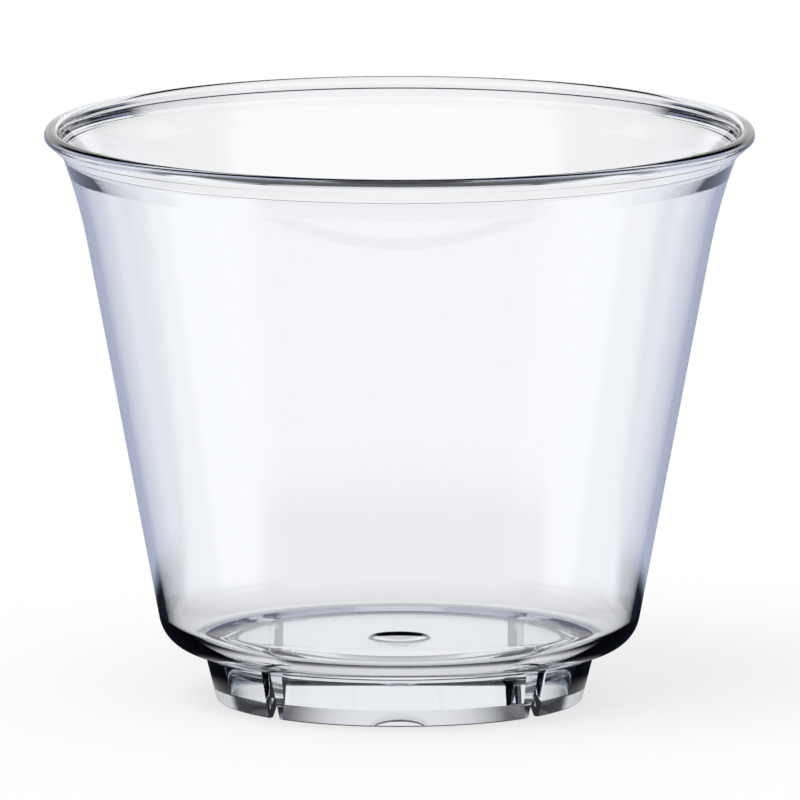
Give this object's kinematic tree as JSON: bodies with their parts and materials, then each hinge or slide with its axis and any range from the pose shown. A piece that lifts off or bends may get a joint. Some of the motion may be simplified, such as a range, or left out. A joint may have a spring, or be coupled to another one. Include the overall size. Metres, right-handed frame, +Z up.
{
  "type": "plastic tumbler cup",
  "caption": "Squat clear plastic tumbler cup with a flared lip, a round shoulder and a recessed foot ring with drain slots.",
  "frame": {"origin": "centre of the foot ring's standing face", "axes": "+Z up along the cup's axis, out of its mouth; the drain slots lie midway between the X and Y axes"},
  "size_m": [0.0904, 0.0904, 0.0734],
  "materials": {
    "clear_plastic": "clear, polished"
  },
  "bodies": {
    "root": {"cup": "clear_plastic"}
  },
  "joints": []
}
